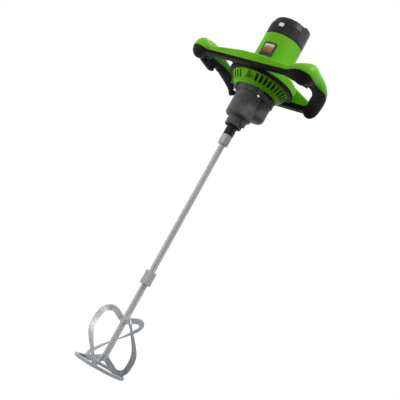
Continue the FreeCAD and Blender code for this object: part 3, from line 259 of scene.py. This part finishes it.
milled_hexagon = Finish("milled_hexagon", metallic=0.35, specular=0.4)
milled_lines = milled_hexagon.noise(scale=300, detail=4.0, stretch=(0.1, 0.1, 1))
milled_hexagon.colour(milled_lines, [(0.30, linear(159, 161, 161)), (0.55, linear(167, 169, 169)),
                                     (0.75, linear(176, 178, 178))])
milled_hexagon.roughness(milled_hexagon.noise(scale=90, detail=4.0), smooth=0.38, rough=0.52)
milled_hexagon.emboss(milled_lines, strength=0.03, height=0.0001)
dress(milled_hexagon, "coupling", "lock_nut")


# Spindle: a turned steel nose with a thread bore and two wrench flats, blackened in hot oxide.
# It carries the output gear, which a circlip holds.
black_oxide = Finish("black_oxide", metallic=0.5, specular=0.2)
oxide_cloud = black_oxide.noise(scale=140, detail=5.0)
black_oxide.colour(oxide_cloud, [(0.3, linear(28, 28, 30)), (0.7, linear(44, 44, 47))])
black_oxide.roughness(black_oxide.noise(scale=300, detail=3.0), smooth=0.36, rough=0.55)
turned_lines = black_oxide.noise(scale=700, detail=3.0, stretch=(0.1, 0.1, 1))
black_oxide.emboss(turned_lines, strength=0.15, height=0.0002)
dress(black_oxide, "spindle", "circlip")


# Gears and bearings: hobbed steel wheels on ground shafts, in plain ball bearings.
# They are shut in the gear case, and a film of oil darkens their flanks. The trigger's spring has the
# bright steel of the bearings.
ground_steel = Finish("ground_steel", metallic=1.0)
ground_lines = ground_steel.noise(scale=500, detail=4.0, stretch=(0.1, 0.1, 1))
ground_steel.colour(ground_lines, [(0.3, linear(120, 121, 124)), (0.7, linear(170, 171, 174))])
ground_steel.roughness(ground_lines, smooth=0.22, rough=0.4)
dress(ground_steel, "output_gear", "layshaft", "lay_gear", "lay_pinion", "motor_shaft")

bearing_steel = Finish("bearing_steel", metallic=1.0)
bearing_cloud = bearing_steel.noise(scale=200, detail=4.0)
bearing_steel.colour(bearing_cloud, [(0.3, linear(168, 170, 173)), (0.7, linear(198, 200, 203))])
bearing_steel.roughness(bearing_cloud, smooth=0.16, rough=0.28)
dress(bearing_steel, "spindle_bearing_lower", "spindle_bearing_upper", "lay_bearing_lower",
      "lay_bearing_upper", "motor_bearing_lower", "motor_bearing_upper", "trigger_spring")


# Gear case: a die-cast aluminium box with a bulge round the layshaft, painted dark grey.
# The bearing plate closes it, and four bright screws hold both under the fan housing.
dark_casting = Finish("dark_casting", metallic=0.1, specular=0.25)
casting_cloud = dark_casting.noise(scale=60, detail=6.0)
dark_casting.colour(casting_cloud, [(0.28, linear(65, 65, 67)), (0.55, linear(76, 76, 78)),
                                    (0.75, linear(87, 87, 89))])
dark_casting.roughness(dark_casting.noise(scale=220, detail=4.0), smooth=0.42, rough=0.62)
dark_casting.emboss(dark_casting.noise(scale=900, detail=3.0), strength=0.25, height=0.0003)
dress(dark_casting, "gear_case", "bearing_plate")

bright_zinc = Finish("bright_zinc", metallic=1.0)
bright_cloud = bright_zinc.noise(scale=400, detail=4.0)
bright_zinc.colour(bright_cloud, [(0.3, linear(196, 198, 200)), (0.7, linear(226, 228, 230))])
bright_zinc.roughness(bright_cloud, smooth=0.18, rough=0.32)


def screw_tree():
    """A screw on each point: a round head with a six-sided socket, and its shank."""
    head_sides, socket_sides, shank_sides = 28, 6, 16
    tree, given, last = new_tree("socket_screw", ["Head Radius", "Head Height", "Socket Radius",
                                                  "Shank Radius", "Shank Length"])

    def bar(vertices, radius, depth, lift):
        """A round or six-sided bar whose middle stands a share of its own depth above the seat."""
        made = tree.nodes.new("GeometryNodeMeshCylinder")
        made.inputs["Vertices"].default_value = vertices
        raised = tree.nodes.new("ShaderNodeMath")
        raised.operation = "MULTIPLY"
        raised.inputs[1].default_value = lift
        spot = tree.nodes.new("ShaderNodeCombineXYZ")
        moved = tree.nodes.new("GeometryNodeTransform")
        tree.links.new(given.outputs[radius], made.inputs["Radius"])
        tree.links.new(given.outputs[depth], made.inputs["Depth"])
        tree.links.new(given.outputs[depth], raised.inputs[0])
        tree.links.new(raised.outputs[0], spot.inputs["Z"])
        tree.links.new(made.outputs["Mesh"], moved.inputs["Geometry"])
        tree.links.new(spot.outputs[0], moved.inputs["Translation"])
        return moved.outputs["Geometry"]

    cut = tree.nodes.new("GeometryNodeMeshBoolean")
    whole = tree.nodes.new("GeometryNodeJoinGeometry")
    spread = tree.nodes.new("GeometryNodeInstanceOnPoints")
    cut.operation = "DIFFERENCE"
    cut.solver = "EXACT"
    tree.links.new(bar(head_sides, "Head Radius", "Head Height", lift=-0.5), cut.inputs["Mesh 1"])
    tree.links.new(bar(socket_sides, "Socket Radius", "Head Height", lift=-1.0), cut.inputs["Mesh 2"])
    tree.links.new(cut.outputs["Mesh"], whole.inputs["Geometry"])
    tree.links.new(bar(shank_sides, "Shank Radius", "Shank Length", lift=0.5), whole.inputs["Geometry"])
    tree.links.new(given.outputs["Geometry"], spread.inputs["Points"])
    tree.links.new(whole.outputs["Geometry"], spread.inputs["Instance"])
    close_tree(tree, given, last, spread.outputs["Instances"])
    return tree


def soften(piece, width):
    """Break the sharp edges of a piece."""
    sharp, steps = math.radians(40), 2
    bevel = piece.modifiers.new("Broken edges", "BEVEL")
    bevel.width = width
    bevel.segments = steps
    bevel.limit_method = "ANGLE"
    bevel.angle_limit = sharp


socket_screw = screw_tree()
case_seat, lug_circle, motor_y = 0.696, 0.046, 0.016
lug_turns = (88, 155, 225, 315)
case_spots = [(lug_circle * math.cos(math.radians(turn)),
               motor_y + lug_circle * math.sin(math.radians(turn)), case_seat)
              for turn in lug_turns]
screw_edge = 0.0004
case_screws = grow("case_screws", socket_screw, case_spots, [], bright_zinc,
                   {"Head Radius": 0.0040, "Head Height": 0.0040, "Socket Radius": 0.0020,
                    "Shank Radius": 0.0019, "Shank Length": 0.0130}, smooth=False)
soften(case_screws, screw_edge)
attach(case_screws, "housing")
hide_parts("gear_case_screws")


# Fan housing: a tapered bowl of green plastic with upright air slots round its sides. The motor's tube
# and the frame's upper shell are moulded in the same green. The fan behind the slots is dark plastic on
# the motor's shaft, like the brush plate and the switch.
green_moulding = Finish("green_moulding", specular=0.14)
green_cloud = green_moulding.noise(scale=14, detail=4.0)
green_moulding.colour(green_cloud, [(0.28, linear(86, 160, 10)), (0.5, linear(92, 166, 12)),
                                    (0.72, linear(99, 172, 16))])
green_moulding.roughness(green_moulding.noise(scale=90, detail=4.0), smooth=0.42, rough=0.54)
green_moulding.emboss(green_moulding.noise(scale=1500, detail=2.0), strength=0.06, height=0.0001)
dress(green_moulding, "fan_housing", "motor_housing", "frame_upper_shell")

inner_moulding = Finish("inner_moulding", specular=0.3)
inner_cloud = inner_moulding.noise(scale=120, detail=4.0)
inner_moulding.colour(inner_cloud, [(0.3, linear(18, 18, 20)), (0.7, linear(34, 34, 36))])
inner_moulding.roughness(inner_cloud, smooth=0.5, rough=0.7)
dress(inner_moulding, "cooling_fan", "brush_plate", "switch_module")


# Motor: stacked sheet cores with lacquered copper windings, a commutator and its brush gear.
# All of it is inside the green tube and the cap.
sheet_stack = Finish("sheet_stack", metallic=0.8)
sheet_edges = sheet_stack.noise(scale=800, detail=2.0, stretch=(0.02, 0.02, 1))
sheet_stack.colour(sheet_edges, [(0.35, linear(58, 60, 64)), (0.65, linear(106, 108, 112))])
sheet_stack.roughness(sheet_edges, smooth=0.35, rough=0.55)
dress(sheet_stack, "stator_core", "armature_core")

copper_wire = Finish("copper_wire", metallic=0.9)
wire_lay = copper_wire.noise(scale=600, detail=2.0, stretch=(1, 1, 0.08))
copper_wire.colour(wire_lay, [(0.35, linear(140, 66, 34)), (0.65, linear(196, 112, 70))])
copper_wire.roughness(wire_lay, smooth=0.28, rough=0.45)
copper_wire.emboss(wire_lay, strength=0.4, height=0.0004)
dress(copper_wire, "field_coils", "armature_windings", "commutator", "brush_holders")

pressed_carbon = Finish("pressed_carbon", specular=0.2)
carbon_grain = pressed_carbon.noise(scale=700, detail=3.0)
pressed_carbon.colour(carbon_grain, [(0.3, linear(20, 20, 20)), (0.7, linear(44, 44, 45))])
pressed_carbon.roughness(carbon_grain, smooth=0.55, rough=0.8)
dress(pressed_carbon, "carbon_brushes")


# Cap: the black moulded crown over the brush gear, with a cover standing up on each side.
# Its skin is spark-eroded to a fine even grain, and the covers are a little paler than the crown.
cap_moulding = Finish("cap_moulding", specular=0.14)
cap_cloud = cap_moulding.noise(scale=24, detail=4.0)
cap_moulding.colour(cap_cloud, [(0.28, linear(26, 23, 27)), (0.55, linear(32, 29, 33)),
                                (0.75, linear(39, 36, 40))])
cap_moulding.roughness(cap_moulding.noise(scale=120, detail=4.0), smooth=0.42, rough=0.55)
cap_moulding.emboss(cap_moulding.cells(scale=1300), strength=0.10, height=0.0002)
dress(cap_moulding, "top_cap")

cover_moulding = Finish("cover_moulding", specular=0.25)
cover_cloud = cover_moulding.noise(scale=30, detail=4.0)
cover_moulding.colour(cover_cloud, [(0.28, linear(42, 40, 44)), (0.55, linear(50, 48, 52)),
                                    (0.75, linear(58, 56, 60))])
cover_moulding.roughness(cover_moulding.noise(scale=120, detail=4.0), smooth=0.34, rough=0.46)
cover_moulding.emboss(cover_moulding.cells(scale=1300), strength=0.06, height=0.0002)
dress(cover_moulding, "brush_cover_left", "brush_cover_right")


# Frame's lower shell: the black half of the frame, moulded in one piece with the beams' undersides.
# The trigger and its lock button are of the same deep black plastic and slide in the left grip.
frame_moulding = Finish("frame_moulding", specular=0.07)
frame_cloud = frame_moulding.noise(scale=24, detail=4.0)
frame_moulding.colour(frame_cloud, [(0.28, linear(18, 15, 18)), (0.55, linear(24, 21, 24)),
                                    (0.75, linear(31, 28, 31))])
frame_moulding.roughness(frame_moulding.noise(scale=120, detail=4.0), smooth=0.45, rough=0.60)
frame_moulding.emboss(frame_moulding.cells(scale=1300), strength=0.10, height=0.0002)
dress(frame_moulding, "frame_lower_shell", "trigger", "lock_button")


# Grips: the frame's ends are wrapped in soft ribbed rubber, matt and lightly dusty in its grain.
# The gland at the back and the spindle's seal are of the same rubber.
grip_rubber = Finish("grip_rubber", specular=0.08)
rubber_cloud = grip_rubber.noise(scale=40, detail=5.0)
grip_rubber.colour(rubber_cloud, [(0.28, linear(41, 40, 43)), (0.55, linear(49, 48, 51)),
                                  (0.75, linear(59, 58, 60))])
grip_rubber.roughness(grip_rubber.noise(scale=200, detail=4.0), smooth=0.58, rough=0.78)
grip_rubber.emboss(grip_rubber.cells(scale=1600), strength=0.2, height=0.0003)
dress(grip_rubber, "left_grip_pad", "right_grip_pad", "cable_gland", "spindle_seal")


# Frame screws: six steel screws with blackened heads, four under the front beam and two at the back.
# They are sunk into the lower shell from below and hold the two shells together.
frame_seat, front_beam, back_beam = 0.7405, -0.075, 0.086
frame_spots = [(x, front_beam, frame_seat) for x in (-0.100, -0.050, 0.050, 0.100)]
frame_spots += [(x, back_beam, frame_seat) for x in (-0.080, 0.080)]
frame_screw_heads = grow("frame_screw_heads", socket_screw, frame_spots, [], black_oxide,
                         {"Head Radius": 0.0039, "Head Height": 0.0040, "Socket Radius": 0.0021,
                          "Shank Radius": 0.0019, "Shank Length": 0.0118}, smooth=False)
soften(frame_screw_heads, screw_edge)
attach(frame_screw_heads, "housing")
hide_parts("frame_screws")


# Plates: a plain printed plate in a dark surround on the motor's tube, and a white square on the cap.
# They are thin plastic, bent to the round wall and glued to it.
def wrapped_plate(name, finish, middle, half_turn, low, high, lift, thick, corner):
    """A thin plate with rounded corners that lies on the motor's round wall; turns in degrees."""
    wall = 0.048
    columns, rows = 24, 28
    foot, face = wall + lift, wall + lift + thick
    centre, tall = (low + high) / 2, (high - low) / 2
    wide = math.radians(half_turn) * wall
    mesh = bmesh.new()
    sheets = []
    for radius in (foot, face):
        sheet = []
        for row in range(rows + 1):
            rise = -tall * math.cos(math.pi * row / rows)
            past = max(0.0, abs(rise) - (tall - corner))
            reach = wide - corner + math.sqrt(max(0.0, corner * corner - past * past))
            line = []
            for column in range(columns + 1):
                turn = math.radians(middle) + reach / wall * (2 * column / columns - 1)
                spot = (radius * math.cos(turn), motor_y + radius * math.sin(turn), centre + rise)
                line.append(mesh.verts.new(spot))
            sheet.append(line)
        sheets.append(sheet)
    under, over = sheets
    for row in range(rows):
        for column in range(columns):
            for sheet in sheets:
                mesh.faces.new((sheet[row][column], sheet[row][column + 1],
                                sheet[row + 1][column + 1], sheet[row + 1][column]))
        for column in (0, columns):
            mesh.faces.new((under[row][column], under[row + 1][column],
                            over[row + 1][column], over[row][column]))
    for row in (0, rows):
        for column in range(columns):
            mesh.faces.new((under[row][column], under[row][column + 1],
                            over[row][column + 1], over[row][column]))
    bmesh.ops.recalc_face_normals(mesh, faces=mesh.faces)
    data = bpy.data.meshes.new(name)
    mesh.to_mesh(data)
    mesh.free()
    data.materials.append(finish.material)
    plate = bpy.data.objects.new(name, data)
    bpy.context.scene.collection.objects.link(plate)
    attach(plate, "housing")


plate_surround = Finish("plate_surround", specular=0.35)
surround_grain = plate_surround.noise(scale=300, detail=3.0)
plate_surround.colour(surround_grain, [(0.3, linear(22, 22, 20)), (0.7, linear(34, 34, 30))])
plate_surround.roughness(surround_grain, smooth=0.35, rough=0.5)
wrapped_plate("plate_surround", plate_surround, middle=273, half_turn=20.5, low=0.789, high=0.825,
              lift=0.00005, thick=0.0008, corner=0.003)


def height_bands(finish, low, high, unevenness):
    """A value that climbs from 0 to 1 between two heights, with a waver."""
    apart = finish.tree.nodes.new("ShaderNodeSeparateXYZ")
    climb = finish.tree.nodes.new("ShaderNodeMapRange")
    waver = finish.tree.nodes.new("ShaderNodeMath")
    climb.inputs["From Min"].default_value = low
    climb.inputs["From Max"].default_value = high
    waver.operation = "MULTIPLY_ADD"
    waver.inputs[1].default_value = unevenness
    finish.link(finish.coordinates.outputs["Object"], apart.inputs[0])
    finish.link(apart.outputs["Z"], climb.inputs["Value"])
    finish.link(finish.noise(scale=230, detail=3.0), waver.inputs[0])
    finish.link(climb.outputs["Result"], waver.inputs[2])
    return waver.outputs[0]


plate_face = Finish("plate_face", specular=0.3)
face_low, face_high = 0.7930, 0.8205
plate_bands = height_bands(plate_face, face_low, face_high, unevenness=0.45)
# The waver lifts the topmost band past 1, where the last stop's colour holds
plate_face.colour(plate_bands, [(0.26, linear(40, 36, 34)), (0.46, linear(104, 62, 48)),
                                (0.60, linear(138, 88, 52)), (0.86, linear(150, 112, 68)),
                                (1.00, linear(168, 136, 104)), (1.00, linear(198, 184, 168))])
plate_face.roughness(plate_face.noise(scale=200, detail=3.0), smooth=0.32, rough=0.45)
wrapped_plate("plate_face", plate_face, middle=272, half_turn=14.6, low=face_low, high=face_high,
              lift=0.0006, thick=0.0005, corner=0.001)

white_square = Finish("white_square", specular=0.4)
square_grain = white_square.noise(scale=160, detail=3.0)
white_square.colour(square_grain, [(0.3, linear(214, 214, 214)), (0.7, linear(232, 232, 232))])
white_square.roughness(square_grain, smooth=0.3, rough=0.42)
wrapped_plate("cap_square", white_square, middle=273, half_turn=7.0, low=0.8705, high=0.8795,
              lift=0.00005, thick=0.0007, corner=0.001)


# Floor and surround: a pale painted floor under the paddle and a white room round it.
# Both look white, straight or mirrored in metal, and give the drill only a soft fill light.
def background_rays(tree):
    """A value that is 1 for the rays that see the background: straight, mirrored or through glass."""
    sight = tree.nodes.new("ShaderNodeLightPath")
    value = sight.outputs["Is Camera Ray"]
    for ray in ("Is Glossy Ray", "Is Transmission Ray"):
        either = tree.nodes.new("ShaderNodeMath")
        either.operation = "MAXIMUM"
        tree.links.new(value, either.inputs[0])
        tree.links.new(sight.outputs[ray], either.inputs[1])
        value = either.outputs[0]
    return value


def add_floor():
    """A wide floor just below the ring, which pales to white away from the drill."""
    half, drop = 6.0, 0.001
    near, far = 0.3, 1.8
    near_glow, far_glow = 0.82, 1.0
    dull_paint, pale_paint = (0.27, 0.27, 0.27, 1), (0.29, 0.29, 0.29, 1)
    mesh = bpy.data.meshes.new("floor")
    corners = [(-half, -half, -drop), (half, -half, -drop), (half, half, -drop), (-half, half, -drop)]
    mesh.from_pydata(corners, [], [(0, 1, 2, 3)])
    floor = bpy.data.objects.new("floor", mesh)
    bpy.context.scene.collection.objects.link(floor)
    paint = bpy.data.materials.new("floor_paint")
    paint.use_nodes = True
    tree = paint.node_tree
    tree.nodes.clear()
    output = tree.nodes.new("ShaderNodeOutputMaterial")
    both = tree.nodes.new("ShaderNodeAddShader")
    glow = tree.nodes.new("ShaderNodeEmission")
    matt = tree.nodes.new("ShaderNodeBsdfDiffuse")
    grain = tree.nodes.new("ShaderNodeTexNoise")
    shade = tree.nodes.new("ShaderNodeValToRGB")
    level = tree.nodes.new("ShaderNodeMath")
    level.operation = "MULTIPLY"
    spread = tree.nodes.new("ShaderNodeTexCoord")
    away = tree.nodes.new("ShaderNodeVectorMath")
    paling = tree.nodes.new("ShaderNodeMapRange")
    away.operation = "LENGTH"
    paling.inputs["From Min"].default_value = near
    paling.inputs["From Max"].default_value = far
    paling.inputs["To Min"].default_value = near_glow
    paling.inputs["To Max"].default_value = far_glow
    tree.links.new(spread.outputs["Object"], away.inputs[0])
    tree.links.new(away.outputs["Value"], paling.inputs["Value"])
    tree.links.new(paling.outputs["Result"], level.inputs[1])
    shade.color_ramp.elements[0].color = dull_paint
    shade.color_ramp.elements[1].color = pale_paint
    tree.links.new(grain.outputs["Fac"], shade.inputs["Fac"])
    tree.links.new(shade.outputs["Color"], matt.inputs["Color"])
    tree.links.new(background_rays(tree), level.inputs[0])
    tree.links.new(level.outputs[0], glow.inputs["Strength"])
    tree.links.new(glow.outputs[0], both.inputs[0])
    tree.links.new(matt.outputs[0], both.inputs[1])
    tree.links.new(both.outputs[0], output.inputs["Surface"])
    mesh.materials.append(paint)


def light_world():
    """A white room that lights the drill less than it shines to the eye."""
    fill, seen = 0.38, 1.0
    world = bpy.data.worlds.new("surround")
    world.use_nodes = True
    bpy.context.scene.world = world
    tree = world.node_tree
    background = tree.nodes["Background"]
    background.inputs["Color"].default_value = (1, 1, 1, 1)
    level = tree.nodes.new("ShaderNodeMapRange")
    level.inputs["To Min"].default_value = fill
    level.inputs["To Max"].default_value = seen
    tree.links.new(background_rays(tree), level.inputs["Value"])
    tree.links.new(level.outputs["Result"], background.inputs["Strength"])


add_floor()
light_world()


# Lamps: two snooted lamps high on the right, one for the head and one for the paddle, and three soft
# boxes in front, beside the rod and behind. They stand outside the picture.
def softbox(name, width, watts):
    """A lamp with a wide square face."""
    data = bpy.data.lights.new(name, "AREA")
    data.size = width
    data.energy = watts
    return data


def snooted_lamp(name, radius, cone, watts):
    """A lamp whose light falls in a narrow cone, in degrees, with a soft edge."""
    edge = 0.6
    data = bpy.data.lights.new(name, "SPOT")
    data.spot_size = math.radians(cone)
    data.spot_blend = edge
    data.shadow_soft_size = radius
    data.energy = watts
    return data


def stand_lamp(data, spot, aim):
    """Put a lamp at a spot and point it; the camera doesn't see it."""
    lamp = bpy.data.objects.new(data.name, data)
    bpy.context.scene.collection.objects.link(lamp)
    lamp.location = spot
    lamp.rotation_euler = (Vector(aim) - Vector(spot)).to_track_quat("-Z", "Y").to_euler()
    lamp.visible_camera = False
    return lamp


right_stand = (1.3, -0.1, 2.5)
stand_lamp(snooted_lamp("key", radius=0.14, cone=16, watts=205), spot=right_stand, aim=(0.05, 0, 0.8))
stand_lamp(snooted_lamp("paddle_key", radius=0.05, cone=5.0, watts=120), spot=right_stand,
           aim=(-0.03, 0, 0.065))
stand_lamp(softbox("front", width=1.8, watts=14), spot=(0.6, -2.3, 1.4), aim=(0, 0, 0.6))
rod_side = stand_lamp(softbox("rod_side", width=0.5, watts=10), spot=(-0.9, -0.5, 0.55),
                      aim=(0, 0, 0.25))
rod_side.visible_glossy = False
stand_lamp(softbox("back", width=1.4, watts=14), spot=(-0.9, 1.8, 1.6), aim=(0, 0, 0.7))


# Dark card: a flag of matt black cloth that stands on the floor beside the camera.
# It is seen only mirrored in metal, as the dark line along the rod.
def stand_flag(cloth, width, height, spot):
    """An upright card at a spot, with its flat side to the drill's axis."""
    half = width / 2
    mesh = bpy.data.meshes.new("flag")
    corners = [(-half, 0, 0), (half, 0, 0), (half, 0, height), (-half, 0, height)]
    mesh.from_pydata(corners, [], [(0, 1, 2, 3)])
    mesh.materials.append(cloth.material)
    flag = bpy.data.objects.new("flag", mesh)
    bpy.context.scene.collection.objects.link(flag)
    flag.location = spot
    flag.rotation_euler = (0, 0, math.atan2(spot[1], spot[0]) + math.pi / 2)
    flag.visible_camera = flag.visible_diffuse = flag.visible_shadow = False


flag_cloth = Finish("flag_cloth", specular=0.0)
flag_weave = flag_cloth.noise(scale=40, detail=3.0)
flag_cloth.colour(flag_weave, [(0.3, linear(12, 12, 12)), (0.7, linear(22, 22, 22))])
stand_flag(flag_cloth, width=3.6, height=1.15, spot=(1.22, -1.45, 0.0))


# Camera: it stands low in front of the drill's right side, tipped so that the rod slants.
# Colours are shown as they are lit, with no film look.
def add_camera():
    """Stand back from the drill's axis, turned round it, then yaw, pitch and roll."""
    turn, pitch, roll, yaw = (math.radians(degrees) for degrees in (34.5, 10.06, 29.0, 0.59))
    distance, height = 1.5751, 0.1462
    lens, sensor = 64.07, 36.0
    out = Vector((math.cos(turn), math.sin(turn), 0))
    away = Vector((-math.sin(turn), math.cos(turn), 0))
    side = out * math.cos(yaw) - away * math.sin(yaw)
    level = out * math.sin(yaw) + away * math.cos(yaw)
    sight = level * math.cos(pitch) + Vector((0, 0, math.sin(pitch)))
    upright = Vector((0, 0, math.cos(pitch))) - level * math.sin(pitch)
    right = side * math.cos(roll) + upright * math.sin(roll)
    top = upright * math.cos(roll) - side * math.sin(roll)
    data = bpy.data.cameras.new("camera")
    data.sensor_width = sensor
    data.lens = lens
    camera = bpy.data.objects.new("camera", data)
    bpy.context.scene.collection.objects.link(camera)
    spot = away * -distance + Vector((0, 0, height))
    pose = Matrix((right, top, -sight)).transposed().to_4x4()
    camera.matrix_world = Matrix.Translation(spot) @ pose
    bpy.context.scene.camera = camera


add_camera()
bpy.context.scene.view_settings.view_transform = "Standard"
